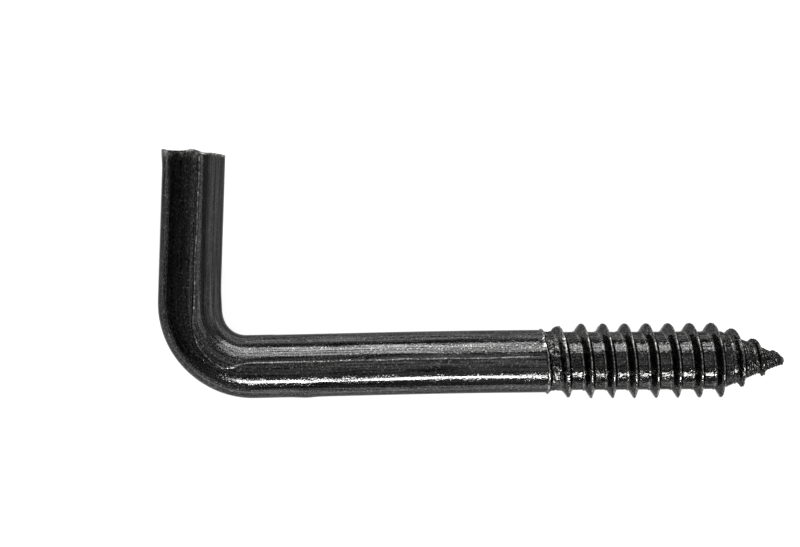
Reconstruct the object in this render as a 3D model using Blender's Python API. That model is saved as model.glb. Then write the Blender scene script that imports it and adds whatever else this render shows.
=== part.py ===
"""Square-bend screw hook: one round steel wire, bent over into an arm at one end and rolled with
a gimlet-pointed wood-screw thread at the other.

The X axis is the shank's axis. The origin is where the plain shank ends and the thread begins, and
+X runs to the point. The arm is bent towards +Y, and the hook lies on its side, so +Z is up. The
side of the wire on the outside of the bend is its outer side, and the other is its inner side.
"""

import math

import bmesh
import bpy
from mathutils import Vector

MM = 0.001

# Wire and bend
WIRE_DIAMETER = 6.0 * MM
PLAIN_LENGTH = 37.4 * MM  # outer side of the arm to the start of the thread
ARM_HEIGHT = 23.8 * MM  # outer side of the shank to the highest edge of the arm's cut end
BEND_ANGLE = math.radians(92.5)
BEND_OUTER_RADIUS = 9.1 * MM
BEND_INNER_RADIUS = 2.5 * MM
ARM_THICKNESS = 5.88 * MM  # outer to inner side: the bending jaws squeeze the arm a little
CUT_SLOPE = math.radians(3.0)  # the arm's end is sheared this far off square
CUT_EDGE = 0.12 * MM  # worn edge around the cut

# Flash lines that the forming dies leave along both flat sides of the wire
FLASH_HEIGHT = 0.07 * MM
FLASH_WIDTH = 0.55 * MM
FLASH_ANGLE = math.radians(8.5)  # towards the inner side, on the straight lengths
FLASH_DRIFT = math.radians(13.0)  # back towards the outer side, halfway round the bend

# Upset lip and shoulder where the rolling dies stopped
LIP_RISE = 0.1 * MM
LIP_LENGTH = 0.5 * MM
LIP_BLEND = 0.5 * MM  # length over which the wire rises to the lip
SHOULDER_LENGTH = 0.3 * MM
SHOULDER_SLANT = 0.5 * MM  # the inner side of the shoulder lies this far back

# Rolled thread
THREAD_LENGTH = 23.5 * MM
PITCH = 2.13 * MM
ROOT_SINK = 0.225 * MM  # root below the wire's surface
CREST_RISE = 0.6 * MM  # crest above the wire's surface
CREST_WIDTH = 0.24 * MM
CREST_ROUNDING = 0.06 * MM
FLANK_ANGLE = math.radians(25.0)
ROOT_FILLET = 0.16 * MM
RUN_IN = 5.2 * MM  # length over which the thread grows to its full height
START_TURN = math.radians(-231.0)  # where the crest crosses the origin, from the inner side
POINT_LENGTH = 6.3 * MM
TIP_DIAMETER = 0.36 * MM
TIP_ROUNDING = 0.09 * MM

# Facets
RING_STEPS = 32
BEND_STEPS = 18
TURN_STEPS = 30
SHARP_ANGLE = math.radians(30.0)

# Clearances of the join between the blank and the thread's ridge
RIDGE_OVERLAP = 0.15 * MM  # how far the ridge is sunk into the blank
LOW_RIDGE_SHARE = 0.3  # most of a low ridge's height that its rounding or its fillet may take

WIRE_RADIUS = WIRE_DIAMETER / 2
ROOT_RADIUS = WIRE_RADIUS - ROOT_SINK
CREST_RADIUS = WIRE_RADIUS + CREST_RISE
TIP_RADIUS = TIP_DIAMETER / 2
LEAN = BEND_ANGLE - math.pi / 2  # how far the arm leans past square, towards the point
ARM_AXIS = Vector((math.sin(LEAN), math.cos(LEAN), 0))
ARM_OUTWARD = Vector((-math.cos(LEAN), math.sin(LEAN), 0))
SIDE = Vector((0, 0, 1))


def clear_scene():
    for item in list(bpy.data.objects):
        bpy.data.objects.remove(item, do_unlink=True)


def direction(angle):
    return Vector((math.cos(angle), math.sin(angle), 0))


# ---- the wire, as pairs of points on its outer and inner sides ----


def outer_bend_centre():
    return Vector((BEND_OUTER_RADIUS - PLAIN_LENGTH, BEND_OUTER_RADIUS - WIRE_RADIUS, 0))


def arm_start():
    """Where the outer side of the bend runs out into the outer side of the arm."""
    return outer_bend_centre() + ARM_OUTWARD * BEND_OUTER_RADIUS


def inner_bend_centre():
    """The centre that lies one inner radius off the inner sides of both the arm and the shank."""
    start = arm_start()
    y = WIRE_RADIUS + BEND_INNER_RADIUS
    across = ARM_THICKNESS + BEND_INNER_RADIUS + (y - start.y) * math.sin(LEAN)
    return Vector((start.x + across / math.cos(LEAN), y, 0))


def arm_pair(drop, inset):
    """The sides of the arm, this far below its cut end and this far in from its surface."""
    start = arm_start()
    reach = (ARM_HEIGHT - WIRE_RADIUS - start.y) / ARM_AXIS.y
    fall = math.tan(CUT_SLOPE)
    outer = start + ARM_AXIS * (reach - drop - inset * fall) - ARM_OUTWARD * inset
    across = ARM_THICKNESS - 2 * inset
    inner = outer - ARM_OUTWARD * across - ARM_AXIS * (across * fall)
    return outer, inner


def bend_pair(share):
    """The sides of the bend, from the arm at 0 to the shank at 1."""
    outward = direction(math.pi - LEAN + share * BEND_ANGLE)
    outer = outer_bend_centre() + outward * BEND_OUTER_RADIUS
    inner = inner_bend_centre() + outward * BEND_INNER_RADIUS
    return outer, inner


def shank_pair(x, radius, slant=0.0):
    """The sides of the shank, with the inner side this far behind the outer one."""
    outer = Vector((x + slant / 2, -radius, 0))
    inner = Vector((x - slant / 2, radius, 0))
    return outer, inner


def section_places(drift):
    """(angle, lift) round the wire from one flash line: 0 is the upper side, a quarter the inner."""
    foot = FLASH_WIDTH / 2 / WIRE_RADIUS
    crest = FLASH_ANGLE - drift
    far_crest = math.pi - crest
    spans = ((crest, far_crest), (far_crest, 2 * math.pi + crest))
    steps = RING_STEPS // 2
    places = []
    for begin, end in spans:
        places.append((begin, 1.0))
        places.append((begin + foot, 0.0))
        for step in range(1, steps):
            places.append((begin + (end - begin) * step / steps, 0.0))
        places.append((end - foot, 0.0))
    return places


def wire_section(pair, half_width, flash=0.0, drift=0.0):
    """The closed outline of the wire between two opposite points of its sides."""
    outer, inner = pair
    centre = (outer + inner) / 2
    reach = (inner - outer) / 2
    outline = []
    for angle, lift in section_places(drift):
        swell = 1 + lift * flash / half_width
        arm = reach * math.sin(angle) + SIDE * (half_width * math.cos(angle))
        outline.append(centre + arm * swell)
    return outline


def root_radius(x):
    """The blank's radius under the thread: a cylinder, then the gimlet cone."""
    to_tip = THREAD_LENGTH - x
    cone = TIP_RADIUS + (ROOT_RADIUS - TIP_RADIUS) * to_tip / POINT_LENGTH
    return min(ROOT_RADIUS, cone)


def blank_sections():
    """Every section of the wire from the arm's cut end to the tip."""
    sections = [
        wire_section(arm_pair(0, CUT_EDGE), WIRE_RADIUS - CUT_EDGE),
        wire_section(arm_pair(CUT_EDGE, 0), WIRE_RADIUS, FLASH_HEIGHT),
    ]
    for step in range(BEND_STEPS + 1):
        share = step / BEND_STEPS
        drift = FLASH_DRIFT * math.sin(math.pi * share) ** 2
        sections.append(wire_section(bend_pair(share), WIRE_RADIUS, FLASH_HEIGHT, drift))
    lip = WIRE_RADIUS + LIP_RISE
    shoulder = (
        (-LIP_LENGTH - LIP_BLEND, WIRE_RADIUS, FLASH_HEIGHT),
        (-LIP_LENGTH, lip, FLASH_HEIGHT),
        (0, lip, 0),
        (SHOULDER_LENGTH, ROOT_RADIUS, 0),
    )
    for x, radius, flash in shoulder:
        sections.append(wire_section(shank_pair(x, radius, SHOULDER_SLANT), radius, flash))
    cone_start = THREAD_LENGTH - POINT_LENGTH
    cone_end = THREAD_LENGTH - TIP_ROUNDING
    for x, radius in (
        (cone_start, ROOT_RADIUS),
        (cone_end, root_radius(cone_end)),
        (THREAD_LENGTH, TIP_RADIUS - TIP_ROUNDING),
    ):
        sections.append(wire_section(shank_pair(x, radius), radius))
    return sections


# ---- the thread ----


def thread_start():
    """The ridge rises out of the root inside the plain shank, and so comes out of the shoulder."""
    return -(LIP_LENGTH + SHOULDER_SLANT) / 2


def crest_radius(x):
    """The crest rises fast over the run-in, runs level, then falls to the tip."""
    left = 1 - min((x - thread_start()) / RUN_IN, 1)
    grown = CREST_RADIUS - (CREST_RADIUS - ROOT_RADIUS) * left**3
    to_tip = THREAD_LENGTH - x
    pointed = TIP_RADIUS + (CREST_RADIUS - TIP_RADIUS) * to_tip / POINT_LENGTH
    return min(grown, pointed)


def thread_places():
    """(turn angle, x) of every station along the ridge, to just short of the tip."""
    step_length = PITCH / TURN_STEPS
    length = THREAD_LENGTH - TIP_DIAMETER - thread_start()
    for step in range(1, int(length / step_length)):
        x = thread_start() + step * step_length
        yield START_TURN + 2 * math.pi * x / PITCH, x


def thread_section(turn, x):
    """The ridge's outline across its run: a rounded crest, straight flanks and filleted feet."""
    height = crest_radius(x) - root_radius(x)
    crest = CREST_WIDTH / 2
    rounding = min(CREST_ROUNDING, height * LOW_RIDGE_SHARE)
    fillet = min(ROOT_FILLET, height * LOW_RIDGE_SHARE)
    sunk = min(RIDGE_OVERLAP, root_radius(x) / 2)
    knee = crest + (height - fillet - rounding) * math.tan(FLANK_ANGLE)
    foot = knee + fillet + sunk
    half = ((foot, -sunk), (knee, fillet), (crest, height - rounding), (0, height))
    outline = [(-across, rise) for across, rise in half]
    outline += [(across, rise) for across, rise in reversed(half[:-1])]
    outward = Vector((0, math.cos(turn), math.sin(turn)))
    points = []
    for across, rise in outline:
        radius = root_radius(x + across) + rise
        points.append(Vector((x + across, 0, 0)) + outward * radius)
    return points


# ---- solids ----


def swept_solid(name, sections):
    """A solid made by extruding the first section from each station to the next."""
    bm = bmesh.new()
    first = [bm.verts.new(point) for point in sections[0]]
    face = bm.faces.new(first)
    for section in sections[1:]:
        face = bmesh.ops.extrude_discrete_faces(bm, faces=[face])["faces"][0]
        for vert, point in zip(face.verts, section):
            vert.co = point
    bm.faces.new(reversed(first))
    bmesh.ops.recalc_face_normals(bm, faces=bm.faces)
    mesh = bpy.data.meshes.new(name)
    bm.to_mesh(mesh)
    bm.free()
    solid = bpy.data.objects.new(name, mesh)
    bpy.context.scene.collection.objects.link(solid)
    return solid


def black_steel():
    material = bpy.data.materials.new("black_coated_steel")
    material.use_nodes = True
    surface = material.node_tree.nodes["Principled BSDF"]
    surface.inputs["Base Color"].default_value = (0.012, 0.012, 0.011, 1)
    surface.inputs["Metallic"].default_value = 0.0
    surface.inputs["Roughness"].default_value = 0.28
    return material


def main():
    clear_scene()
    hook = swept_solid("screw_hook", blank_sections())
    ridge = swept_solid("thread_ridge", [thread_section(*place) for place in thread_places()])
    ridge.hide_render = True
    ridge.display_type = "WIRE"
    rolled = hook.modifiers.new("rolled_thread", "BOOLEAN")
    rolled.operation = "UNION"
    rolled.solver = "EXACT"
    rolled.object = ridge
    hook.data.materials.append(black_steel())
    hook.data.shade_smooth()
    hook.data.set_sharp_from_angle(angle=SHARP_ANGLE)


main()
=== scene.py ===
"""A square-bend screw hook in black-plated steel wire, dressed around its CAD frame.

The X axis is the shank's axis and runs to the point. Its zero is where the plain shank ends and the
thread begins. The arm is bent towards +Y, and the hook lies on its side on the floor, with +Z up.
"""

import math

import bpy
import numpy as np
from mathutils import Matrix, Vector


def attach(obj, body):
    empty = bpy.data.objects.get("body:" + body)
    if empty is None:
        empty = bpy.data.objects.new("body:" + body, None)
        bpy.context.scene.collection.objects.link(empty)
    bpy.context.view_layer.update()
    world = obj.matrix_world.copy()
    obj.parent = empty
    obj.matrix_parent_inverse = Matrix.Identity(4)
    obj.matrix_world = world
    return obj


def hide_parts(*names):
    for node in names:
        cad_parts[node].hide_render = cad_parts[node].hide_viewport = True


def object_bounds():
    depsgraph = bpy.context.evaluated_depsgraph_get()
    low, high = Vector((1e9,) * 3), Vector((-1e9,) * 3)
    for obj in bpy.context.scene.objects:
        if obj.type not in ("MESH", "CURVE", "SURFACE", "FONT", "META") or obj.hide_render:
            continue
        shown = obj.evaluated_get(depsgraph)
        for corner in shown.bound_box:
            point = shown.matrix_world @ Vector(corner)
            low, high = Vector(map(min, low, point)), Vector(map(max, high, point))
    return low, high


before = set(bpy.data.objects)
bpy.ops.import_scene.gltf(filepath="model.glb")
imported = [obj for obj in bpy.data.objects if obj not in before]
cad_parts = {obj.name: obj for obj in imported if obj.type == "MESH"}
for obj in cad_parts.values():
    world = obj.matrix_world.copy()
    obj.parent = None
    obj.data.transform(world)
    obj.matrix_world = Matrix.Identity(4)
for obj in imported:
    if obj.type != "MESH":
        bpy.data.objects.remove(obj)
cad_low, cad_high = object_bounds()

MM = 0.001

# Wire and bend
WIRE_RADIUS = 3.0 * MM
PLAIN_LENGTH = 37.4 * MM
ARM_HEIGHT = 23.8 * MM
BEND_ANGLE = math.radians(92.5)
BEND_OUTER_RADIUS = 9.1 * MM
BEND_INNER_RADIUS = 2.5 * MM
ARM_THICKNESS = 5.88 * MM
CUT_SLOPE = math.radians(3.0)
LEAN = BEND_ANGLE - math.pi / 2

# Thread
THREAD_LENGTH = 23.5 * MM
POINT_LENGTH = 6.3 * MM
PITCH = 2.13 * MM
ROOT_RADIUS = 2.775 * MM
CREST_RADIUS = 3.6 * MM
TIP_RADIUS = 0.22 * MM

COAT = 0.055 * MM  # how far the plated surface stands outside its CAD frame
COAT_FADE = 0.3 * MM  # and it thins out over this much before the tip

# What straightening, bending and shearing left out of true
WAVE = 0.08 * MM  # the shank runs in a slow wave about its axis
WAVE_NODE = -19.5 * MM
WAVE_HALF = 25.0 * MM
WAVE_BEGINS = (-36 * MM, -28 * MM)
TIP_DROOP = 0.14 * MM
ARM_SWELL = 0.03 * MM  # the bending jaws squeezed the arm wider
ARM_SWELL_ENDS = (17 * MM, 24 * MM)  # along the wire from its cut end
FOOT_SWELL = 0.165 * MM  # metal that the inside of the bend pushed up the arm
FOOT_SWELL_AT = 5.2 * MM
FOOT_SWELL_REACH = 1.5 * MM
HEEL_SWELL = 0.075 * MM  # and the mark that the bending jaw left under the shank
HEEL_SWELL_AT = -23.3 * MM
HEEL_SWELL_REACH = 0.9 * MM

# The flash line: how far round the wire it lies from the upper side towards the inside of the bend,
# and how far it drifts back from there
FLASH_ANGLE = math.radians(8.5)
FLASH_END_DRIFT = math.radians(-5.0)  # at the arm's cut end
FLASH_FOOT_DRIFT = math.radians(-3.3)  # where the arm meets the bend
FLASH_FOOT_FADE = 0.5  # and it is over at this share of the bend
FLASH_BEND_DRIFT = math.radians(13.0)  # at the bend's middle
FLASH_HEEL_DRIFT = math.radians(10.0)  # more, over the last part of the bend
FLASH_HEEL_AT = 0.73  # shares of the bend
FLASH_HEEL_REACH = 0.16

# The cut end, as the shear left it. A place across it runs from -1 on the arm's outer side to 1 on
# its inner side, and a pair of places is what something fades between.
UPPER_SIDE = (-0.2, 0.3)  # from the wire's lower side at -1 to its upper side at 1
INNER_HALF = (0.15, 0.4)
END_RISE = 0.18 * MM  # both corners stand up
END_RISE_REACH = 0.9 * MM
END_RISE_LEVEL = 0.25  # the share of the rise that the rim has between its corners
END_OUTER_CORNER = (-1.0, -0.72)
END_INNER_CORNER = (0.3, 0.65)
END_BURR = 0.26 * MM  # a burr stands beside the flash line
END_BURR_AT = 0.03
END_BURR_REACH = 0.25
END_PINCH = 0.1 * MM  # the upper side is pressed flat over the outer half
END_PINCH_REACH = 1.3 * MM
END_PINCH_ENDS = (-0.15, 0.3)
END_FLARE = 0.16 * MM  # the outer corner is squeezed outwards
END_FLARE_REACH = 0.9 * MM
END_BEAD = 0.04 * MM  # a fine bead follows the inner half of the rim, with a groove under it
END_BEAD_BELOW = 0.08 * MM
END_BEAD_REACH = 0.05 * MM
END_GROOVE_SHARE = 0.8
END_GROOVE_BELOW = 0.22 * MM
END_GROOVE_REACH = 0.08 * MM
END_BARE_BELOW = 0.09 * MM  # the plating is gone from the rim
END_BARE_REACH = 0.1 * MM
END_BARE_BEGINS = (-0.35, -0.1)
END_DULL = 0.5  # the shear scuffed the outer corner dull
END_DULL_REACH = 1.0 * MM

# Facets
AROUND = 144
CROWDING = 0.62  # how closely they gather at the flash lines
CROWDING_ENDS = 0.85  # a share of the shank
PLAIN_STEP = 0.3 * MM
THREAD_STEP = 0.062 * MM
THREAD_STEPS_BEGIN = -0.6 * MM
POINT_STEP = 0.045 * MM
BEND_STEPS = 44
LEAST_STEP = 0.003 * MM
END_DROPS = (0.03, 0.06, 0.09, 0.13, 0.17, 0.22, 0.28, 0.36, 0.46, 0.6, 0.78, 1.0)  # mm below it
TIP_GAPS = (0.02, 0.006, 0.001)  # mm from the tip
CUT_RINGS = (0.985, 0.95, 0.86, 0.68, 0.46, 0.24)  # shares of the cut end's radius
CUT_RIM_POWER = 12  # how steeply the raised rim falls to the flat inside it
CLEAR = 1.0  # metres, as the distance of what is far from the cut end

ARM_AXIS = np.array((math.sin(LEAN), math.cos(LEAN), 0.0))
ARM_OUTWARD = np.array((-math.cos(LEAN), math.sin(LEAN), 0.0))
UP = np.array((0.0, 0.0, 1.0))


def add(tree, kind, feeds=(), out=0, **settings):
    """Adds a node with its settings and returns one of its outputs. The feeds give each socket a
    value or another node's output: a list goes by the sockets' order, and a dict by their names."""
    node = tree.nodes.new(kind)
    for key, value in settings.items():
        setattr(node, key, value)
    in_use = [socket for socket in node.inputs if socket.enabled]
    pairs = feeds.items() if isinstance(feeds, dict) else enumerate(feeds)
    for key, value in pairs:
        socket = in_use[key] if isinstance(key, int) else node.inputs[key]
        if isinstance(value, bpy.types.NodeSocket):
            tree.links.new(value, socket)
        else:
            socket.default_value = value
    return [socket for socket in node.outputs if socket.enabled][out]


# ---- the bent wire, before its flash line and thread ----


def smooth(value, low, high):
    """Rises from 0 at low to 1 at high."""
    t = np.clip((value - low) / (high - low), 0, 1)
    return t * t * (3 - 2 * t)


def bell(value, middle, reach):
    """Rises to 1 at the middle, and is down to about a third this far from it."""
    return np.exp(-(((value - middle) / reach) ** 2))


def outer_bend_centre():
    return np.array((BEND_OUTER_RADIUS - PLAIN_LENGTH, BEND_OUTER_RADIUS - WIRE_RADIUS, 0.0))


def arm_start():
    """Where the arm's outer side meets the bend."""
    return outer_bend_centre() + ARM_OUTWARD * BEND_OUTER_RADIUS


def arm_length():
    return (ARM_HEIGHT - WIRE_RADIUS - arm_start()[1]) / ARM_AXIS[1]


def inner_bend_centre():
    start = arm_start()
    y = WIRE_RADIUS + BEND_INNER_RADIUS
    across = ARM_THICKNESS + BEND_INNER_RADIUS + (y - start[1]) * math.sin(LEAN)
    return np.array((start[0] + across / math.cos(LEAN), y, 0.0))


def arm_pair(drop):
    """The outer and inner points of the arm, this far below its cut end."""
    outer = arm_start() + ARM_AXIS * (arm_length() - drop)
    fall = math.tan(CUT_SLOPE) * (1 - drop / arm_length())
    inner = outer - ARM_OUTWARD * ARM_THICKNESS - ARM_AXIS * (ARM_THICKNESS * fall)
    return outer, inner


def bend_pair(share):
    """The outer and inner points of the bend, from the arm at 0 to the shank at 1."""
    outward = math.pi - LEAN + share * BEND_ANGLE
    way = np.array((math.cos(outward), math.sin(outward), 0.0))
    return (
        outer_bend_centre() + way * BEND_OUTER_RADIUS,
        inner_bend_centre() + way * BEND_INNER_RADIUS,
    )


def shank_pair(share):
    """The outer and inner points of the shank, from the bend at 0 to the thread at 1."""
    start_outer, start_inner = bend_pair(1.0)
    return (
        start_outer * (1 - share) + np.array((0, -WIRE_RADIUS, 0)) * share,
        start_inner * (1 - share) + np.array((0, WIRE_RADIUS, 0)) * share,
    )


def wire_rows():
    """Every ring of the wire as (outer point, inner point, drift of the flash line, crowding,
    distance below the cut end)."""
    rows = []
    near = [0.0] + [drop * MM for drop in END_DROPS]
    rest = np.linspace(near[-1], arm_length(), round((arm_length() - near[-1]) / PLAIN_STEP))
    for drop in near + list(rest[1:-1]):
        drift = FLASH_END_DRIFT + (FLASH_FOOT_DRIFT - FLASH_END_DRIFT) * drop / arm_length()
        rows.append((*arm_pair(drop), drift, 1.0, drop))
    for share in np.linspace(0, 1, BEND_STEPS):
        drift = FLASH_BEND_DRIFT * math.sin(math.pi * share) ** 2
        drift += FLASH_FOOT_DRIFT * (1 - smooth(share, 0.0, FLASH_FOOT_FADE))
        drift += FLASH_HEEL_DRIFT * bell(share, FLASH_HEEL_AT, FLASH_HEEL_REACH)
        rows.append((*bend_pair(share), drift, 1.0, CLEAR))
    shank_length = -outer_bend_centre()[0]
    for share in np.linspace(0, 1, round(shank_length / PLAIN_STEP))[1:-1]:
        rows.append((*shank_pair(share), 0.0, 1.0 - smooth(share, CROWDING_ENDS, 1.0), CLEAR))
    point_start = THREAD_LENGTH - POINT_LENGTH
    places = list(np.arange(THREAD_STEPS_BEGIN, point_start, THREAD_STEP))
    places += list(np.arange(point_start, THREAD_LENGTH - POINT_STEP / 2, POINT_STEP))
    places += [THREAD_LENGTH - gap * MM for gap in TIP_GAPS]
    for x in places:
        if rows[-1][0][0] < x - LEAST_STEP:
            outer, inner = np.array((x, -WIRE_RADIUS, 0)), np.array((x, WIRE_RADIUS, 0))
            rows.append((outer, inner, 0.0, 0.0, CLEAR))
    return rows


def ring_angles(drift, crowding):
    """Angles round the wire from its upper side towards its inner side. The facets crowd together
    at the two flash lines, and this also gives how far each lies from the nearer line."""
    line = FLASH_ANGLE - drift
    spans = ((line, math.pi - line), (math.pi - line, 2 * math.pi + line))
    angles, reaches = [], []
    for begin, end in spans:
        t = np.arange(AROUND // 2) / (AROUND // 2)
        t = t - CROWDING * crowding * np.sin(2 * math.pi * t) / (2 * math.pi)
        angle = begin + (end - begin) * t
        angles.append(angle)
        reaches.append(np.where(t < 0.5, angle - begin, angle - end))
    return np.concatenate(angles), np.concatenate(reaches)


def wave(x):
    """How far the shank's middle line strays from its axis."""
    slow = WAVE * np.sin(math.pi * (x - WAVE_NODE) / WAVE_HALF)
    droop = TIP_DROOP * smooth(x, THREAD_LENGTH - POINT_LENGTH / 2, THREAD_LENGTH)
    return slow * smooth(x, *WAVE_BEGINS) - droop


def sheared_end(angle, drop):
    """How the shear moved the wire this far below the cut: along the arm, outwards from the wire's
    middle line, and how bare it left the steel."""
    across = np.sin(angle)
    upper = smooth(np.cos(angle), *UPPER_SIDE)
    inner_half = smooth(across, *INNER_HALF)
    corners = 1 - smooth(across, *END_OUTER_CORNER) + smooth(across, *END_INNER_CORNER)
    lift = END_RISE * (END_RISE_LEVEL + (1 - END_RISE_LEVEL) * corners)
    lift = lift + END_BURR * bell(across, END_BURR_AT, END_BURR_REACH) * upper
    lift *= bell(drop, 0, END_RISE_REACH)
    pinch = np.clip(1 - drop / END_PINCH_REACH, 0, 1) ** 2 * (1 - smooth(across, *END_PINCH_ENDS))
    flare = END_FLARE * np.clip(-across, 0, 1) ** 4
    out = flare * bell(drop, 0, END_FLARE_REACH) - END_PINCH * pinch * upper
    groove = END_GROOVE_SHARE * bell(drop, END_GROOVE_BELOW, END_GROOVE_REACH)
    bead = bell(drop, END_BEAD_BELOW, END_BEAD_REACH) - groove
    out += END_BEAD * bead * inner_half * upper
    bare = bell(drop, END_BARE_BELOW, END_BARE_REACH) * smooth(across, *END_BARE_BEGINS) * upper
    dull = END_DULL * (1 - smooth(drop, 0, END_DULL_REACH)) * (1 - inner_half) * upper
    return lift, out, np.maximum(bare, dull)


def bend_swell(angle, place):
    """How far bending pushed the wire's surface out at these places."""
    foot = bell(place[:, 1], FOOT_SWELL_AT, FOOT_SWELL_REACH) * np.clip(np.sin(angle), 0, 1) ** 1.5
    foot *= place[:, 0] < BEND_INNER_RADIUS + inner_bend_centre()[0]
    heel = bell(place[:, 0], HEEL_SWELL_AT, HEEL_SWELL_REACH) * np.clip(-np.sin(angle), 0, 1) ** 2
    heel *= place[:, 1] < 0
    return FOOT_SWELL * foot + HEEL_SWELL * heel


def band(near, far):
    """The faces between two rings, each given as the numbers of its points."""
    corners = zip(near, np.roll(near, -1), np.roll(far, -1), far)
    return [tuple(int(corner) for corner in face) for face in corners]


def fan(heart, ring):
    """The faces between one point and a ring."""
    return [(heart, int(one), int(other)) for one, other in zip(ring, np.roll(ring, -1))]


# What each point of the wire keeps for the later shaping and the finish
WIRE_LAYERS = {
    "outward": "FLOAT_VECTOR",  # away from the wire's middle line
    "unbent": "FLOAT_VECTOR",  # its place if the wire were straight, along Z from the cut end
    "along": "FLOAT",  # its place along the shank
    "turn": "FLOAT",  # its angle round the shank, for the thread
    "flash_reach": "FLOAT",  # its distance from the nearer flash line
    "bare": "FLOAT",  # how bare the shear left it
}


def wire_blank():
    """The bent wire as one closed mesh, with its layers on its points."""
    points, faces = [], []
    layers = {name: [] for name in WIRE_LAYERS}

    def keep(places, *values):
        """Keeps one ring, or one point, with a value for each layer, and returns its numbers."""
        for (name, kind), value in zip(WIRE_LAYERS.items(), values):
            shape = (len(places), 3) if kind == "FLOAT_VECTOR" else (len(places),)
            layers[name].append(np.broadcast_to(value, shape))
        begin = sum(len(kept) for kept in points)
        points.append(places)
        return np.arange(begin, begin + len(places))

    rows = wire_rows()
    run = 0.0
    last = None
    rings = []
    for outer, inner, drift, crowding, drop in rows:
        angle, reach = ring_angles(drift, crowding)
        sine, cosine = np.sin(angle), np.cos(angle)
        centre = (outer + inner) / 2
        if last is not None:
            run += np.linalg.norm(centre - last)
        last = centre
        half = (inner - outer) / 2
        way = np.outer(sine, half / np.linalg.norm(half)) + np.outer(cosine, UP)
        place = centre + np.outer(sine, half) + np.outer(cosine, UP * WIRE_RADIUS)
        lift, out, bare = sheared_end(angle, drop)
        swell = bend_swell(angle, place)
        swell += out + COAT * smooth(THREAD_LENGTH - centre[0], 0, COAT_FADE)
        swell += ARM_SWELL * (1 - smooth(run, *ARM_SWELL_ENDS))
        place = place + way * swell[:, None] + np.outer(lift, ARM_AXIS)
        place[:, 1] += wave(place[:, 0])
        unbent = np.stack([WIRE_RADIUS * sine, WIRE_RADIUS * cosine, np.full(AROUND, run)], axis=1)
        along = centre[0] if centre[1] < WIRE_RADIUS else -PLAIN_LENGTH
        turn = math.pi / 2 - angle
        rings.append(keep(place, way, unbent, along, turn, reach * WIRE_RADIUS, bare))
    for near, far in zip(rings, rings[1:]):
        faces += band(near, far)

    # The cut end, ring inside ring to its middle: flat, but for its raised rim
    rim_lift = sheared_end(ring_angles(rows[0][2], rows[0][3])[0], 0.0)[0]
    rim = points[0] - np.outer(rim_lift, ARM_AXIS)
    middle = rim.mean(axis=0)
    rim_unbent = layers["unbent"][0]
    rim_turn = layers["turn"][0]
    before = rings[0]
    for share in CUT_RINGS:
        place = middle + (rim - middle) * share
        place += np.outer(rim_lift * share**CUT_RIM_POWER, ARM_AXIS)
        here = keep(place, 0.0, rim_unbent * share, -PLAIN_LENGTH, rim_turn, WIRE_RADIUS, 0.0)
        faces += band(here, before)
        before = here
    heart = keep(middle[None], 0.0, 0.0, -PLAIN_LENGTH, 0.0, WIRE_RADIUS, 0.0)
    faces += [(point, other, one) for point, one, other in fan(int(heart[0]), before)]
    tip = np.array((THREAD_LENGTH, wave(THREAD_LENGTH), 0.0))
    heart = keep(tip[None], 0.0, (0.0, 0.0, run), THREAD_LENGTH, 0.0, WIRE_RADIUS, 0.0)
    faces += fan(int(heart[0]), rings[-1])

    mesh = bpy.data.meshes.new("bent_wire")
    mesh.from_pydata(np.concatenate(points).tolist(), [], faces)
    for name, kind in WIRE_LAYERS.items():
        layer = mesh.attributes.new(name, kind, "POINT")
        key = "vector" if kind == "FLOAT_VECTOR" else "value"
        layer.data.foreach_set(key, np.concatenate(layers[name]).astype(np.float32).ravel())
    mesh.update()
    mesh.shade_smooth()
    wire = bpy.data.objects.new("hook_wire", mesh)
    bpy.context.scene.collection.objects.link(wire)
    return wire


# ---- Geometry Nodes: the flash line and the rolled thread ----


def new_tree(name, sizes):
    """A tree that takes and gives one geometry, with an input for each size. Its inputs come with
    it, by name."""
    tree = bpy.data.node_groups.new(name, "GeometryNodeTree")
    tree.interface.new_socket("Geometry", in_out="INPUT", socket_type="NodeSocketGeometry")
    tree.interface.new_socket("Geometry", in_out="OUTPUT", socket_type="NodeSocketGeometry")
    for size in sizes:
        tree.interface.new_socket(size, in_out="INPUT", socket_type="NodeSocketFloat")
    given = tree.nodes.new("NodeGroupInput")
    return tree, {socket.name: socket for socket in given.outputs if socket.name}


def close_tree(tree, geometry, finish):
    """Ends the tree in real geometry that wears the finish."""
    real = add(tree, "GeometryNodeRealizeInstances", [geometry])
    coated = add(tree, "GeometryNodeSetMaterial", {"Geometry": real, "Material": finish})
    end = tree.nodes.new("NodeGroupOutput")
    tree.links.new(coated, end.inputs["Geometry"])


def shape_by(piece, tree, sizes):
    """Puts the tree on the piece with these sizes."""
    shaping = piece.modifiers.new(tree.name, "NODES")
    shaping.node_group = tree
    for item in tree.interface.items_tree:
        if item.in_out == "INPUT" and item.name in sizes:
            shaping[item.identifier] = sizes[item.name]


FLASH = {
    "Height": 0.06 * MM,
    "Half width": 0.15 * MM,
    "Waver": 0.05 * MM,
    "Waver length": 4.0 * MM,
    "Waver on the upper side": 40.0,  # a jump along the noise, so that the two sides differ
    "Chatter length": 0.45 * MM,
    "Chatter on the upper side": 90.0,
    "Lowest chatter": 0.45,  # shares of the height
    "Highest chatter": 1.3,
    "End": -0.9 * MM,
    "Fade length": 0.4 * MM,
}

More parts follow.
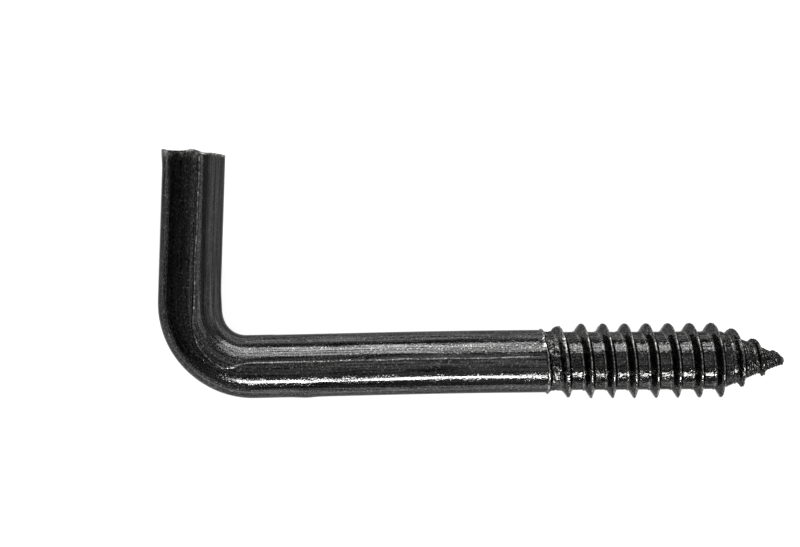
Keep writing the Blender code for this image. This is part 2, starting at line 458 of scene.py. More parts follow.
THREAD = {
    "Pitch": PITCH,
    "Start turn": math.radians(-223.0),  # where the crest crosses the origin, from the inner side
    "Wire radius": WIRE_RADIUS,
    "Lip rise": 0.12 * MM,
    "Lip start": -0.32 * MM,
    "Lip full": -0.05 * MM,
    "Bead place": -0.07 * MM,
    "Bead rise": 0.07 * MM,
    "Bead half width": 0.11 * MM,
    "Shoulder length": 0.42 * MM,
    "Shoulder slant": 0.2 * MM,
    "Shoulder jog": 0.12 * MM,
    "Root radius": ROOT_RADIUS,
    "Crest radius": CREST_RADIUS,
    "Tip radius": TIP_RADIUS,
    "Crest half width": 0.075 * MM,
    "Wear shift": 0.035 * MM,
    "Crest rounding": 0.1 * MM,
    "Near foot fillet": 0.25 * MM,
    "Foot bead place": 0.78,  # out from the crest, as a share of the ridge's height
    "Foot bead rise": 0.09 * MM,
    "Foot bead half width": 0.11 * MM,
    "Far foot fillet": 0.22 * MM,
    "Near flank slope": 1 / math.tan(math.radians(32.0)),
    "Far flank slope": 1 / math.tan(math.radians(21.0)),
    "Run-in start": -0.5 * MM,
    "Run-in length": 5.2 * MM,
    "Run-in lead": 0.79 * MM,  # how much nearer the arm the crest begins
    "Run-in power": 3.0,  # 1 grows the ridge evenly, and more grows it sooner
    "Length": THREAD_LENGTH,
    "Point length": POINT_LENGTH,
    "Point power": 0.87,  # 1 is a straight cone, and less swells it
    "Crest waver": 0.035 * MM,
    "Wavers per metre": 1 / (0.5 * MM),
    "Ragged edge": 2.5,  # times the crest's waver
    "Seam depth": 0.1 * MM,
    "Seam half width": 0.09 * MM,
    "Raised ridge": 0.3 * MM,  # a lower ridge has no open seam, and its crest isn't worn
    "Thread lean": 0.028,  # how much nearer the point it is on the inner side, times the radius
    "Scale depth": 0.017 * MM,
    "Run-in scale depth": 0.16 * MM,
    "Point scale depth": 0.055 * MM,
    "Scales per metre": 1 / (0.28 * MM),
    "Fold depth": 0.05 * MM,
    "Fold spacing": 0.28 * MM,
    "First change": -1.2 * MM,
    "Full wear to": 14 * MM,
    "Least wear from": 18 * MM,
    "Crest wear": 0.9,
    "Point wear": 0.35,
    "Foot wear": 0.45,
    "Worn edge": 0.06 * MM,
    "Unworn edge": 0.13 * MM,
}


def flash_line_tree(finish):
    """Raises the thin, wavering line where the dies met, along the wire's upper and lower sides."""
    tree, size = new_tree("Flash line", FLASH)
    place, outward, reach, along = [
        add(tree, "GeometryNodeInputNamedAttribute", {"Name": name}, data_type=WIRE_LAYERS[name])
        for name in ("unbent", "outward", "flash_reach", "along")
    ]
    run = add(tree, "ShaderNodeSeparateXYZ", [place], out=2)
    side = add(tree, "ShaderNodeSeparateXYZ", [place], out=1)
    upper = add(tree, "ShaderNodeMath", [side, 0.0], operation="GREATER_THAN")
    waver_w = add(tree, "ShaderNodeMath", [run, size["Waver length"]], operation="DIVIDE")
    jump = size["Waver on the upper side"]
    waver_w = add(tree, "ShaderNodeMath", [upper, jump, waver_w], operation="MULTIPLY_ADD")
    waver = add(
        tree,
        "ShaderNodeTexNoise",
        {"W": waver_w, "Scale": 1.0, "Detail": 1.5},
        noise_dimensions="1D",
    )
    waver = add(tree, "ShaderNodeMapRange", [waver, 0.2, 0.8, -1.0, 1.0])
    waver = add(tree, "ShaderNodeMath", [waver, size["Waver"]], operation="MULTIPLY")
    off_line = add(tree, "ShaderNodeMath", [reach, waver], operation="ADD")
    off_line = add(tree, "ShaderNodeMath", [off_line], operation="ABSOLUTE")
    ridge = add(
        tree,
        "ShaderNodeMapRange",
        [off_line, 0.0, size["Half width"], 1.0, 0.0],
        interpolation_type="SMOOTHSTEP",
    )
    chatter_w = add(tree, "ShaderNodeMath", [run, size["Chatter length"]], operation="DIVIDE")
    jump = size["Chatter on the upper side"]
    chatter_w = add(tree, "ShaderNodeMath", [upper, jump, chatter_w], operation="MULTIPLY_ADD")
    chatter = add(
        tree,
        "ShaderNodeTexNoise",
        {"W": chatter_w, "Scale": 1.0, "Detail": 2.0},
        noise_dimensions="1D",
    )
    lowest, highest = size["Lowest chatter"], size["Highest chatter"]
    chatter = add(tree, "ShaderNodeMapRange", [chatter, 0.25, 0.75, lowest, highest])
    ends = add(tree, "ShaderNodeMath", [size["End"], size["Fade length"]], operation="ADD")
    fade = add(tree, "ShaderNodeMapRange", [along, size["End"], ends, 1.0, 0.0])
    height = add(tree, "ShaderNodeMath", [ridge, chatter], operation="MULTIPLY")
    height = add(tree, "ShaderNodeMath", [height, fade], operation="MULTIPLY")
    worn = add(tree, "ShaderNodeMath", [height, 2.0], operation="POWER")
    lift = add(tree, "ShaderNodeMath", [height, size["Height"]], operation="MULTIPLY")
    offset = add(
        tree, "ShaderNodeVectorMath", {"Vector": outward, "Scale": lift}, operation="SCALE"
    )
    raised = add(tree, "GeometryNodeSetPosition", {"Geometry": size["Geometry"], "Offset": offset})
    marked = add(
        tree,
        "GeometryNodeStoreNamedAttribute",
        {"Geometry": raised, "Name": "flash", "Value": worn},
        data_type="FLOAT",
        domain="POINT",
    )
    close_tree(tree, marked, finish)
    return tree


def rolled_thread_tree(finish):
    """Rolls the thread: sinks the wire to the root, raises the ridge along its helix and draws the
    whole down to the point."""
    tree, size = new_tree("Rolled thread", THREAD)
    place = add(tree, "GeometryNodeInputPosition")
    outward, along, turn, unbent = [
        add(tree, "GeometryNodeInputNamedAttribute", {"Name": name}, data_type=WIRE_LAYERS[name])
        for name in ("outward", "along", "turn", "unbent")
    ]
    inner_share = add(tree, "ShaderNodeSeparateXYZ", [outward], out=1)

    # Small faults that the dies leave: the crest wavers, and the shoulder's edge is ragged
    rough = add(
        tree,
        "ShaderNodeTexNoise",
        {"Vector": place, "Scale": size["Wavers per metre"], "Detail": 3.0},
    )
    rough = add(tree, "ShaderNodeMapRange", [rough, 0.25, 0.75, -1.0, 1.0])
    stray = add(tree, "ShaderNodeMath", [rough, size["Crest waver"]], operation="MULTIPLY")

    # Root and crest: the ridge grows over its run-in, stays level, and is drawn down to the tip
    point_start = add(
        tree, "ShaderNodeMath", [size["Length"], size["Point length"]], operation="SUBTRACT"
    )
    root = add(
        tree,
        "ShaderNodeMapRange",
        [along, point_start, size["Length"], size["Root radius"], size["Tip radius"]],
    )
    taper = add(tree, "ShaderNodeMapRange", [along, point_start, size["Length"], 1.0, 0.0])
    taper = add(tree, "ShaderNodeMath", [taper, size["Point power"]], operation="POWER")
    pointed = add(
        tree, "ShaderNodeMapRange", [taper, 0.0, 1.0, size["Tip radius"], size["Crest radius"]]
    )
    run_in_end = add(
        tree, "ShaderNodeMath", [size["Run-in start"], size["Run-in length"]], operation="ADD"
    )
    to_grow = add(tree, "ShaderNodeMapRange", [along, size["Run-in start"], run_in_end, 1.0, 0.0])
    to_grow = add(tree, "ShaderNodeMath", [to_grow, size["Run-in power"]], operation="POWER")
    grown = add(
        tree, "ShaderNodeMapRange", [to_grow, 0.0, 1.0, size["Crest radius"], size["Root radius"]]
    )
    crest = add(tree, "ShaderNodeMath", [grown, pointed], operation="MINIMUM")
    height = add(tree, "ShaderNodeMath", [crest, root], operation="SUBTRACT")
    full_height = add(
        tree, "ShaderNodeMath", [size["Crest radius"], size["Root radius"]], operation="SUBTRACT"
    )
    fullness = add(
        tree, "ShaderNodeMath", [height, full_height], operation="DIVIDE", use_clamp=True
    )
    unfilled = add(tree, "ShaderNodeMath", [1.0, fullness], operation="SUBTRACT")

    # Distance across the ridge from the crest's helix
    turned = add(tree, "ShaderNodeMath", [turn, size["Start turn"]], operation="SUBTRACT")
    turned = add(tree, "ShaderNodeMath", [turned, 2 * math.pi], operation="DIVIDE")
    advance = add(tree, "ShaderNodeMath", [turned, size["Pitch"]], operation="MULTIPLY")
    leaned = add(tree, "ShaderNodeMath", [size["Thread lean"], inner_share], operation="MULTIPLY")
    leaned = add(tree, "ShaderNodeMath", [leaned, size["Crest radius"]], operation="MULTIPLY")
    advance = add(tree, "ShaderNodeMath", [advance, leaned], operation="ADD")
    across = add(tree, "ShaderNodeMath", [along, advance], operation="SUBTRACT")
    across = add(tree, "ShaderNodeMath", [across, stray], operation="ADD")
    across = add(
        tree, "ShaderNodeMath", [to_grow, size["Run-in lead"], across], operation="MULTIPLY_ADD"
    )
    half_pitch = add(tree, "ShaderNodeMath", [size["Pitch"], 0.5], operation="MULTIPLY")
    minus_half = add(tree, "ShaderNodeMath", [half_pitch, -1.0], operation="MULTIPLY")
    signed = add(tree, "ShaderNodeMath", [across, half_pitch, minus_half], operation="WRAP")
    across = add(tree, "ShaderNodeMath", [signed], operation="ABSOLUTE")
    far_side = add(tree, "ShaderNodeMath", [signed, 0.0], operation="GREATER_THAN")
    slope = add(
        tree, "ShaderNodeMix", [far_side, size["Near flank slope"], size["Far flank slope"]]
    )

    # The ridge: rounded crest, blunter where it isn't full, straight flanks and filleted feet
    half_width = add(tree, "ShaderNodeMath", [unfilled, 2.0, 1.0], operation="MULTIPLY_ADD")
    half_width = add(
        tree, "ShaderNodeMath", [half_width, size["Crest half width"]], operation="MULTIPLY"
    )
    past_crest = add(tree, "ShaderNodeMath", [across, half_width], operation="SUBTRACT")
    fall = add(tree, "ShaderNodeMath", [past_crest, slope], operation="MULTIPLY")
    rise = add(tree, "ShaderNodeMath", [height, fall], operation="SUBTRACT")
    rise = add(
        tree, "ShaderNodeMath", [rise, height, size["Crest rounding"]], operation="SMOOTH_MIN"
    )
    fillet = add(
        tree, "ShaderNodeMix", [far_side, size["Near foot fillet"], size["Far foot fillet"]]
    )
    ridge = add(tree, "ShaderNodeMath", [rise, 0.0, fillet], operation="SMOOTH_MAX")

    # The seam that is left open along the crest where the dies weren't filled
    seam = add(
        tree,
        "ShaderNodeMapRange",
        [across, 0.0, size["Seam half width"], 1.0, 0.0],
        interpolation_type="SMOOTHSTEP",
    )
    seam = add(tree, "ShaderNodeMath", [seam, size["Seam depth"]], operation="MULTIPLY")
    seam_share = add(tree, "ShaderNodeMapRange", [unfilled, 0.05, 0.4, 0.0, 1.0])
    raised = add(tree, "ShaderNodeMapRange", [height, 0.0, size["Raised ridge"], 0.0, 1.0])
    seam = add(tree, "ShaderNodeMath", [seam, seam_share], operation="MULTIPLY")
    seam = add(tree, "ShaderNodeMath", [seam, raised], operation="MULTIPLY")
    ridge = add(tree, "ShaderNodeMath", [ridge, seam], operation="SUBTRACT")

    # A fine bead where the root's metal was pushed up against the near flank
    foot = add(
        tree,
        "ShaderNodeMath",
        [height, size["Foot bead place"], half_width],
        operation="MULTIPLY_ADD",
    )
    off_foot = add(tree, "ShaderNodeMath", [signed, foot], operation="ADD")
    off_foot = add(tree, "ShaderNodeMath", [off_foot], operation="ABSOLUTE")
    foot = add(
        tree,
        "ShaderNodeMapRange",
        [off_foot, 0.0, size["Foot bead half width"], 1.0, 0.0],
        interpolation_type="SMOOTHSTEP",
    )
    foot = add(tree, "ShaderNodeMath", [foot, fullness], operation="MULTIPLY")
    ridge = add(
        tree, "ShaderNodeMath", [foot, size["Foot bead rise"], ridge], operation="MULTIPLY_ADD"
    )
    threaded = add(tree, "ShaderNodeMath", [root, ridge], operation="ADD")

    # Forging scale, thickest on the point, and folds that run beside its crests
    scale = add(
        tree,
        "ShaderNodeTexNoise",
        {"Vector": place, "Scale": size["Scales per metre"], "Detail": 2.0},
    )
    scale = add(tree, "ShaderNodeMapRange", [scale, 0.3, 0.7, -1.0, 1.0])
    on_point = add(tree, "ShaderNodeMapRange", [along, point_start, size["Length"], 0.0, 1.0])
    on_point = add(tree, "ShaderNodeMath", [on_point, 0.5], operation="POWER")
    depth = add(tree, "ShaderNodeMix", [on_point, size["Scale depth"], size["Point scale depth"]])
    depth = add(
        tree,
        "ShaderNodeMath",
        [to_grow, size["Run-in scale depth"], depth],
        operation="MULTIPLY_ADD",
    )
    scale = add(tree, "ShaderNodeMath", [scale, depth], operation="MULTIPLY")
    fold = add(tree, "ShaderNodeMath", [signed, size["Fold spacing"]], operation="DIVIDE")
    fold = add(tree, "ShaderNodeMath", [fold, 2 * math.pi], operation="MULTIPLY")
    fold = add(tree, "ShaderNodeMath", [fold], operation="SINE")
    fold = add(tree, "ShaderNodeMath", [fold, size["Fold depth"]], operation="MULTIPLY")
    fold = add(tree, "ShaderNodeMath", [fold, on_point], operation="MULTIPLY")
    scale = add(tree, "ShaderNodeMath", [scale, fold], operation="ADD")
    threaded = add(tree, "ShaderNodeMath", [threaded, scale], operation="ADD")

    # The upset lip, lower on the upper and lower sides, and the slanted shoulder after it, which is
    # steeper towards the inside of the bend
    jog = add(tree, "ShaderNodeMapRange", [inner_share, 0.2, 0.7, 0.0, size["Shoulder jog"]])
    slanted = add(
        tree, "ShaderNodeMath", [inner_share, size["Shoulder slant"], jog], operation="MULTIPLY_ADD"
    )
    slanted = add(tree, "ShaderNodeMath", [along, slanted], operation="ADD")
    ragged = add(
        tree, "ShaderNodeMath", [stray, size["Ragged edge"], slanted], operation="MULTIPLY_ADD"
    )
    lip = add(
        tree,
        "ShaderNodeMapRange",
        [slanted, size["Lip start"], size["Lip full"]],
        interpolation_type="SMOOTHSTEP",
    )
    sideways = add(tree, "ShaderNodeMath", [inner_share], operation="ABSOLUTE")
    lip_share = add(tree, "ShaderNodeMapRange", [sideways, 0.4, 1.0, 0.45, 1.0])
    lip = add(tree, "ShaderNodeMath", [lip, lip_share], operation="MULTIPLY")
    lip = add(
        tree,
        "ShaderNodeMath",
        [lip, size["Lip rise"], size["Wire radius"]],
        operation="MULTIPLY_ADD",
    )
    off_edge = add(tree, "ShaderNodeMath", [ragged, size["Bead place"]], operation="SUBTRACT")
    off_edge = add(tree, "ShaderNodeMath", [off_edge], operation="ABSOLUTE")
    bead = add(
        tree,
        "ShaderNodeMapRange",
        [off_edge, 0.0, size["Bead half width"], size["Bead rise"], 0.0],
        interpolation_type="SMOOTHSTEP",
    )
    lip = add(tree, "ShaderNodeMath", [lip, bead], operation="ADD")
    length_here = add(tree, "ShaderNodeMapRange", [inner_share, 0.0, 0.6, 1.0, 0.45])
    shoulder_foot = add(
        tree, "ShaderNodeMath", [length_here, size["Shoulder length"]], operation="MULTIPLY"
    )
    shoulder = add(
        tree,
        "ShaderNodeMapRange",
        [ragged, size["Bead place"], shoulder_foot],
        interpolation_type="SMOOTHSTEP",
    )
    radius = add(tree, "ShaderNodeMix", [shoulder, lip, threaded])

    # The very tip is round, as a quarter circle
    to_tip = add(tree, "ShaderNodeMath", [size["Length"], along], operation="SUBTRACT")
    to_tip = add(
        tree, "ShaderNodeMath", [to_tip, size["Tip radius"]], operation="DIVIDE", use_clamp=True
    )
    to_tip = add(tree, "ShaderNodeMath", [1.0, to_tip], operation="SUBTRACT")
    to_tip = add(tree, "ShaderNodeMath", [to_tip, 2.0], operation="POWER")
    blunt = add(tree, "ShaderNodeMath", [1.0, to_tip], operation="SUBTRACT")
    blunt = add(tree, "ShaderNodeMath", [blunt], operation="SQRT")
    radius = add(tree, "ShaderNodeMath", [radius, blunt], operation="MULTIPLY")

    change = add(tree, "ShaderNodeMath", [radius, size["Wire radius"]], operation="SUBTRACT")
    in_thread = add(tree, "ShaderNodeMath", [along, size["First change"]], operation="GREATER_THAN")
    change = add(tree, "ShaderNodeMath", [change, in_thread], operation="MULTIPLY")
    offset = add(
        tree, "ShaderNodeVectorMath", {"Vector": outward, "Scale": change}, operation="SCALE"
    )
    rolled = add(tree, "GeometryNodeSetPosition", {"Geometry": size["Geometry"], "Offset": offset})

    # The finish's own coordinates follow the new radius
    swelled = add(tree, "ShaderNodeMath", [change, size["Wire radius"]], operation="DIVIDE")
    swelled = add(tree, "ShaderNodeMath", [swelled, 1.0], operation="ADD")
    swelled = add(tree, "ShaderNodeCombineXYZ", [swelled, swelled, 1.0])
    unbent = add(tree, "ShaderNodeVectorMath", [unbent, swelled], operation="MULTIPLY")
    rolled = add(
        tree,
        "GeometryNodeStoreNamedAttribute",
        {"Geometry": rolled, "Name": "unbent", "Value": unbent},
        data_type="FLOAT_VECTOR",
        domain="POINT",
    )

    # Where the plating rubs through: the crest, the shoulder's edge and the bead at the foot
    top = add(tree, "ShaderNodeMath", [signed, size["Wear shift"]], operation="SUBTRACT")
    top = add(tree, "ShaderNodeMath", [top], operation="ABSOLUTE")
    top = add(tree, "ShaderNodeMath", [top, size["Crest half width"]], operation="DIVIDE")
    crest_worn = add(tree, "ShaderNodeMapRange", [top, 0.3, 1.2, 1.0, 0.0])
    wear = [size[name] for name in ("Full wear to", "Least wear from", "Crest wear", "Point wear")]
    wear_here = add(tree, "ShaderNodeMapRange", [along, *wear])
    for share in (wear_here, in_thread, raised):
        crest_worn = add(tree, "ShaderNodeMath", [crest_worn, share], operation="MULTIPLY")
    edge_worn = add(
        tree, "ShaderNodeMapRange", [off_edge, size["Worn edge"], size["Unworn edge"], 1.0, 0.0]
    )
    worn = add(tree, "ShaderNodeMath", [crest_worn, edge_worn], operation="MAXIMUM")
    foot_worn = add(tree, "ShaderNodeMath", [foot, size["Foot wear"]], operation="MULTIPLY")
    worn = add(tree, "ShaderNodeMath", [worn, foot_worn], operation="MAXIMUM")
    marked = add(
        tree,
        "GeometryNodeStoreNamedAttribute",
        {"Geometry": rolled, "Name": "crest", "Value": worn},
        data_type="FLOAT",
        domain="POINT",
    )
    close_tree(tree, marked, finish)
    return tree


def made_plain(piece, name):
    """The piece with its shaping carried out, as a plain mesh."""
    graph = bpy.context.evaluated_depsgraph_get()
    mesh = bpy.data.meshes.new_from_object(
        piece.evaluated_get(graph), preserve_all_data_layers=True, depsgraph=graph
    )
    mesh.name = name
    plain = bpy.data.objects.new(name, mesh)
    bpy.context.scene.collection.objects.link(plain)
    bpy.data.objects.remove(piece, do_unlink=True)
    return plain


# ---- finish ----


def colour(code):
    """An sRGB hex colour in linear light."""
    channels = [int(code[i : i + 2], 16) / 255 for i in (1, 3, 5)]
    linear = [c / 12.92 if c <= 0.04045 else ((c + 0.055) / 1.055) ** 2.4 for c in channels]
    return (*linear, 1.0)


# The real crystals, pits and rubbed specks are a few hundredths of a millimetre across. These are
# drawn as coarse as they need to be to show at all.
GRAIN = 0.15 * MM
CRYSTAL = 0.17 * MM
PIT = 0.11 * MM
SPECK = 0.3 * MM
PATCH = 1.6 * MM
STREAK_WIDTH = 0.15 * MM
STREAK_LENGTH = 5 * MM
RELIEF = 0.0075 * MM

# Places along the wire, from the arm's cut end
STREAKED_ARM = (8 * MM, 15 * MM)
ARM_FINISH_AND_SHADE = (24 * MM, 14 * MM)  # where the arm begins and is full, for its painted shade and its own pits and sparkle
ARM_FLASH = (23 * MM, 18 * MM)
BEND_MIDDLE = 19 * MM
STRETCHED = (2.5 * MM, 6.5 * MM)  # off the bend's middle

# Places along the thread, and from the wire's middle towards the inside of the bend
ROLLED = (-0.2 * MM, 0.2 * MM)
ON_POINT = (16 * MM, 20 * MM)
OUTER_HALF = (-0.4 * MM, 0.4 * MM)
IRONED = (0.6 * MM, 1.4 * MM)


def black_plated_steel():
    """Black-passivated zinc on drawn steel wire: a dark, glossy metal whose fine crystal grain
    breaks the highlights up into sparkle. Drawing streaks run along the wire. The arm is drawn
    blacker, most on its outer half: painted shade, for the dark surroundings that it reflects. The
    bending jaws ironed the arm's inner side smooth. Bare grey steel shows where the edges have
    rubbed."""
    finish = bpy.data.materials.new("black_plated_steel")
    finish.use_nodes = True
    tree = finish.node_tree
    surface = tree.nodes["Principled BSDF"]
    unbent = add(tree, "ShaderNodeAttribute", out=1, attribute_name="unbent")
    along, crest, flash, bare = [
        add(tree, "ShaderNodeAttribute", out=2, attribute_name=name)
        for name in ("along", "crest", "flash", "bare")
    ]

    # Where on the hook
    towards_inner = add(tree, "ShaderNodeSeparateXYZ", [unbent], out=0)
    run = add(tree, "ShaderNodeSeparateXYZ", [unbent], out=2)
    on_arm = add(tree, "ShaderNodeMapRange", [run, *ARM_FINISH_AND_SHADE, 0.0, 1.0])
    off_bend = add(tree, "ShaderNodeMath", [run, BEND_MIDDLE], operation="SUBTRACT")
    off_bend = add(tree, "ShaderNodeMath", [off_bend], operation="ABSOLUTE")
    rolled = add(tree, "ShaderNodeMapRange", [along, *ROLLED])
    on_point = add(tree, "ShaderNodeMapRange", [along, *ON_POINT])
    outer_half = add(tree, "ShaderNodeMapRange", [towards_inner, *OUTER_HALF, 0.5, 0.0])
    ironed = add(tree, "ShaderNodeMapRange", [towards_inner, *IRONED])
    ironed = add(tree, "ShaderNodeMath", [ironed, on_arm], operation="MULTIPLY")
    coarse = add(tree, "ShaderNodeMath", [on_arm, outer_half, on_point], operation="MULTIPLY_ADD")

    # Raised grain, heavier in patches, on the rolled thread and where the bend stretched the coat,
    # over drawing streaks
    grain = add(tree, "ShaderNodeTexNoise", {"Vector": unbent, "Scale": 1 / GRAIN, "Detail": 1.0})
    grain = add(tree, "ShaderNodeMapRange", [grain, 0.5, 0.68, 0.0, 1.0])
    patch = add(tree, "ShaderNodeTexNoise", {"Vector": unbent, "Scale": 1 / PATCH, "Detail": 3.0})
    heavy = add(tree, "ShaderNodeMapRange", [patch, 0.42, 0.65, 0.25, 0.75])
    heavy = add(tree, "ShaderNodeMath", [rolled, 0.35, heavy], operation="MULTIPLY_ADD")
    stretched = add(tree, "ShaderNodeMapRange", [off_bend, *STRETCHED, 0.6, 0.0])
    heavy = add(tree, "ShaderNodeMath", [heavy, stretched], operation="ADD")
    raised = add(tree, "ShaderNodeMath", [ironed, -0.6, 1.0], operation="MULTIPLY_ADD")
    heavy = add(tree, "ShaderNodeMath", [heavy, raised], operation="MULTIPLY")
    per_streak = (1 / STREAK_WIDTH, 1 / STREAK_WIDTH, 1 / STREAK_LENGTH)
    drawn = add(tree, "ShaderNodeMapping", {"Vector": unbent, "Scale": per_streak})
    streak = add(tree, "ShaderNodeTexNoise", {"Vector": drawn, "Scale": 1.0, "Detail": 2.0})
    relief = add(tree, "ShaderNodeMath", [grain, heavy], operation="MULTIPLY")
    relief = add(tree, "ShaderNodeMath", [streak, 0.2, relief], operation="MULTIPLY_ADD")
    normal = add(tree, "ShaderNodeBump", {"Strength": 1.0, "Distance": RELIEF, "Height": relief})

    # Bare steel, in specks: the flash line, the thread's crests and the cut end's rim
    flash_rub = add(tree, "ShaderNodeMapRange", [run, *ARM_FLASH, 0.22, 1.0])
    ridge = add(tree, "ShaderNodeMath", [flash, 2.0], operation="POWER")
    rubbed = add(tree, "ShaderNodeMath", [ridge, flash_rub], operation="MULTIPLY")
    rubbed = add(tree, "ShaderNodeMath", [rubbed, crest], operation="MAXIMUM")
    rubbed = add(tree, "ShaderNodeMath", [rubbed, bare], operation="MAXIMUM")
    speck = add(tree, "ShaderNodeTexNoise", {"Vector": unbent, "Scale": 1 / SPECK, "Detail": 3.0})
    speck = add(tree, "ShaderNodeMapRange", [speck, 0.42, 0.58, 0.1, 1.0])
    rubbed = add(tree, "ShaderNodeMath", [rubbed, speck], operation="MULTIPLY")

    # The plating's grey: how deep its pits and its streaks go
    pits = add(tree, "ShaderNodeTexNoise", {"Vector": unbent, "Scale": 1 / PIT, "Detail": 1.0})
    pits = add(tree, "ShaderNodeMapRange", [pits, 0.4, 0.6, -0.5, 0.5])
    pitting = add(tree, "ShaderNodeMapRange", [on_arm, 0.0, 1.0, 0.5, 0.6])
    for place, more in ((on_point, 0.8), (ironed, -0.34)):
        pitting = add(tree, "ShaderNodeMath", [place, more, pitting], operation="MULTIPLY_ADD")
    grey = add(tree, "ShaderNodeMath", [pits, pitting, 0.5], operation="MULTIPLY_ADD")
    streaking = add(tree, "ShaderNodeMapRange", [run, *STREAKED_ARM, 0.26, 0.44])
    streaking = add(tree, "ShaderNodeMath", [ironed, -0.04, streaking], operation="MULTIPLY_ADD")
    streaks = add(tree, "ShaderNodeMapRange", [streak, 0.3, 0.7, -1.0, 1.0])
    grey = add(
        tree,
        "ShaderNodeMath",
        [streaks, streaking, grey],
        operation="MULTIPLY_ADD",
        use_clamp=True,
    )
    tones = [colour("#10100f"), colour("#666666")]
    plated = add(tree, "ShaderNodeMix", [grey, *tones], data_type="RGBA")

    # Sparkling crystals, the most on the arm's outer half and on the point
    spark = add(tree, "ShaderNodeTexNoise", {"Vector": unbent, "Scale": 1 / CRYSTAL, "Detail": 0.0})
    spark = add(tree, "ShaderNodeMath", [coarse, 0.03, spark], operation="MULTIPLY_ADD")
    spark = add(tree, "ShaderNodeMapRange", [spark, 0.66, 0.74, 0.0, 0.5])
    spark_share = 1.0
    for place, more in ((coarse, 0.5), (ironed, -0.65)):
        spark_share = add(
            tree, "ShaderNodeMath", [place, more, spark_share], operation="MULTIPLY_ADD"
        )
    spark = add(tree, "ShaderNodeMath", [spark, spark_share], operation="MULTIPLY")
    plated = add(tree, "ShaderNodeMix", [spark, plated, colour("#9a9a98")], data_type="RGBA")

    # Darker on the arm, most on its outer half: painted shade, for the dark surroundings that the
    # arm reflects. The rolled thread and the point are drawn darker too.
    level = add(tree, "ShaderNodeMapRange", [on_arm, 0.0, 1.0, 1.0, 0.62])
    for place, more in ((rolled, -0.2), (coarse, -0.16), (on_point, -0.18)):
        level = add(tree, "ShaderNodeMath", [place, more, level], operation="MULTIPLY_ADD")
    plated = add(
        tree, "ShaderNodeVectorMath", {"Vector": plated, "Scale": level}, operation="SCALE"
    )
    base = add(tree, "ShaderNodeMix", [rubbed, plated, colour("#bab8b4")], data_type="RGBA")

    roughness = add(tree, "ShaderNodeMapRange", [patch, 0.3, 0.7, 0.03, 0.06])
    duller = ((spark, 0.2), (bare, 0.5), (flash, 0.35), (rolled, 0.02), (on_point, 0.08))
    for place, more in duller:
        roughness = add(tree, "ShaderNodeMath", [place, more, roughness], operation="MULTIPLY_ADD")
    tree.links.new(base, surface.inputs["Base Color"])
    tree.links.new(roughness, surface.inputs["Roughness"])
    tree.links.new(normal, surface.inputs["Normal"])
    surface.inputs["Metallic"].default_value = 1.0
    # The black film mirrors less at a grazing angle than bare metal does
    surface.inputs["Specular Tint"].default_value = colour("#b2b2b2")
    return finish


# ---- stage ----


CAMERA_PLACE = Vector((-22.313, 9.070, 172.224)) * MM
CAMERA_ROLL = math.radians(0.6863)
CAMERA_SWING = math.radians(-2.7395)
CAMERA_TILT = math.radians(-0.0716)
SENSOR_WIDTH = 36.0  # mm, as the focal length is
FOCAL_LENGTH = 79.96

# Each light's name, its bearing from the hook (0 is +X, 90 is +Y), the two angles from the zenith
# that it lies between, the two angles sideways, its distance in metres and its watts per square
# metre
LIGHTS = (
    ("window_upper", 90, 39, 57, -28, 42, 0.6, 8.8),
    ("window_lower", 90, 57, 75, -34, 42, 0.6, 13.3),
    ("strip_light", -90, 50.8, 59.6, -13, 37, 0.6, 62.0),
    ("strip_light_end", -90, 50.8, 59.6, -20, -13, 0.6, 15.0),
    ("ceiling_panel", 90, -14, 27, -9, 1.5, 0.9, 1.15),
    ("side_panel", 0, 22, 38, -18, 18, 0.9, 3.2),
)

FLOOR_LEVEL = cad_low[2] - COAT
FLOOR_HALF = 2.5  # metres
GLOW_MIDDLE = (-10 * MM, -12 * MM, FLOOR_LEVEL)  # of the part of the floor that glows: painted light, with no lamp under it
GLOW_HALF = (45 * MM, 49 * MM, 0.0)
GLOW_FADE = 16 * MM


def studio_camera():
    """Looks down on the hook from over its bend, a little askew."""
    lens = bpy.data.cameras.new("camera")
    lens.sensor_width = SENSOR_WIDTH
    lens.lens = FOCAL_LENGTH
    camera = bpy.data.objects.new("camera", lens)
    bpy.context.scene.collection.objects.link(camera)
    turn = Matrix.Rotation(CAMERA_ROLL, 3, (0, 0, -1))
    up = turn @ Vector((0, 1, 0))
    turn = Matrix.Rotation(CAMERA_SWING, 3, up) @ turn
    right = turn @ Vector((1, 0, 0))
    turn = Matrix.Rotation(CAMERA_TILT, 3, right) @ turn
    camera.matrix_world = Matrix.Translation(CAMERA_PLACE) @ turn.to_4x4()
    lens.clip_start = 0.01
    lens.clip_end = 20.0
    bpy.context.scene.camera = camera


def softbox(name, bearing, low, high, start, end, distance, strength):
    """A rectangular light that faces the hook from between these angles, in degrees."""
    bearing, low, high, start, end = map(math.radians, (bearing, low, high, start, end))
    middle = (low + high) / 2
    aim = Vector(
        (
            math.cos(bearing) * math.sin(middle),
            math.sin(bearing) * math.sin(middle),
            math.cos(middle),
        )
    )
    light = bpy.data.lights.new(name, "AREA")
    light.shape = "RECTANGLE"
    light.size = distance * (math.tan(end) - math.tan(start))
    light.size_y = 2 * distance * math.tan((high - low) / 2)
    light.energy = strength * light.size * light.size_y
    lamp = bpy.data.objects.new(name, light)
    bpy.context.scene.collection.objects.link(lamp)
    along = Vector((-math.sin(bearing), math.cos(bearing), 0))
    across = aim.cross(along)
    centre = (aim + along * (math.tan(end) + math.tan(start)) / 2) * distance
    turn = Matrix((along, across, aim)).transposed()
    lamp.matrix_world = Matrix.Translation(centre) @ turn.to_4x4()


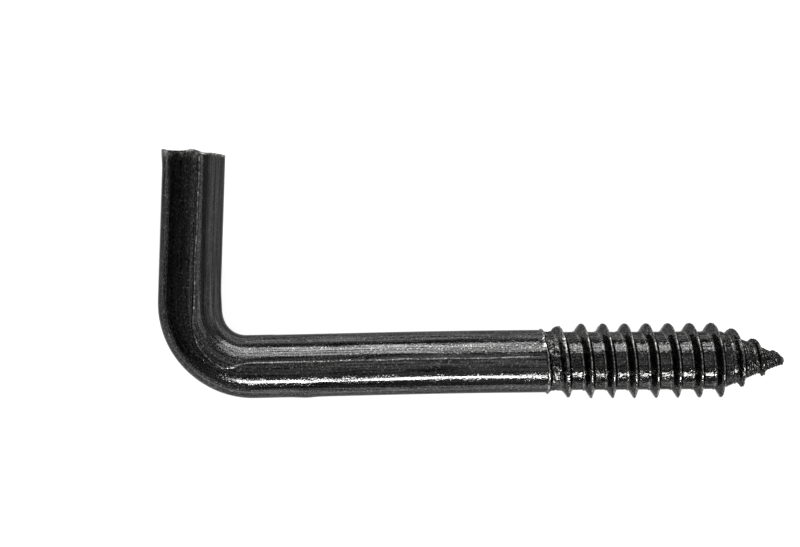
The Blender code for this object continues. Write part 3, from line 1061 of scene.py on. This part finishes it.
def studio_walls():
    """Pale walls, darker beyond the arm and at both sides, and a bright one past the point."""
    scene = bpy.context.scene
    scene.view_settings.view_transform = "Standard"
    scene.view_settings.look = "None"
    world = bpy.data.worlds.new("studio")
    scene.world = world
    world.use_nodes = True
    tree = world.node_tree
    way = add(tree, "ShaderNodeTexCoord", out=0)
    east = add(tree, "ShaderNodeSeparateXYZ", [way], out=0)
    north = add(tree, "ShaderNodeSeparateXYZ", [way], out=1)
    north = add(tree, "ShaderNodeMath", [north], operation="ABSOLUTE")
    dim = add(tree, "ShaderNodeMapRange", [north, 0.8, 0.97, 1.0, 0.55])
    level = add(tree, "ShaderNodeMapRange", [east, -1.0, 0.0, 0.07, 0.32])
    rising = add(tree, "ShaderNodeMapRange", [east, 0.82, 1.0, 0.0, 1.0])
    level = add(tree, "ShaderNodeMath", [level, rising], operation="ADD")
    level = add(tree, "ShaderNodeMath", [level, dim], operation="MULTIPLY")
    background = tree.nodes["Background"]
    tree.links.new(level, background.inputs["Strength"])
    background.inputs["Color"].default_value = colour("#ffffff")


def paper_with_painted_glow():
    """Plain matt white paper that glows under the hook, as on a light table but with no lamp:
    painted light, which fills in the hook's shadows. Beyond, the glow and the paper's colour fall
    to grey: a painted pool of light.
    """
    paper = bpy.data.materials.new("paper_with_painted_glow")
    paper.use_nodes = True
    tree = paper.node_tree
    sheet = tree.nodes["Principled BSDF"]
    spot = add(tree, "ShaderNodeTexCoord", out=3)
    away = add(tree, "ShaderNodeVectorMath", [spot, GLOW_MIDDLE], operation="SUBTRACT")
    away = add(tree, "ShaderNodeVectorMath", [away], operation="ABSOLUTE")
    away = add(tree, "ShaderNodeVectorMath", [away, GLOW_HALF], operation="SUBTRACT")
    away = add(tree, "ShaderNodeVectorMath", [away, (0.0, 0.0, 0.0)], operation="MAXIMUM")
    away = add(tree, "ShaderNodeVectorMath", [away], operation="LENGTH")
    away = add(tree, "ShaderNodeMapRange", [away, 0.0, GLOW_FADE], interpolation_type="SMOOTHSTEP")
    # Painted pool of light: the paper's colour is painted darker grey away from the glowing part.
    tones = [colour("#a6a6a6"), colour("#7c7c7c")]
    painted_falloff_tone = add(tree, "ShaderNodeMix", [away, *tones], data_type="RGBA")
    tree.links.new(painted_falloff_tone, sheet.inputs["Base Color"])
    # Painted light: the paper glows under the hook with no lamp, and less beyond.
    painted_glow = add(tree, "ShaderNodeMapRange", [away, 0.0, 1.0, 0.82, 0.16])
    tree.links.new(painted_glow, sheet.inputs["Emission Strength"])
    sheet.inputs["Emission Color"].default_value = colour("#ffffff")
    sheet.inputs["Roughness"].default_value = 0.9
    return paper


def paper_floor():
    """The sheet that the hook lies on."""
    mesh = bpy.data.meshes.new("floor")
    corners = [(-1, -1), (1, -1), (1, 1), (-1, 1)]
    places = [(x * FLOOR_HALF, y * FLOOR_HALF, FLOOR_LEVEL) for x, y in corners]
    mesh.from_pydata(places, [], [(0, 1, 2, 3)])
    mesh.materials.append(paper_with_painted_glow())
    floor = bpy.data.objects.new("floor", mesh)
    bpy.context.scene.collection.objects.link(floor)


plating = black_plated_steel()
wire = wire_blank()
shape_by(wire, flash_line_tree(plating), FLASH)
shape_by(wire, rolled_thread_tree(plating), THREAD)
hook = made_plain(wire, "hook")
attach(hook, "root")
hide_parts("screw_hook")
studio_camera()
studio_walls()
for light in LIGHTS:
    softbox(*light)
paper_floor()
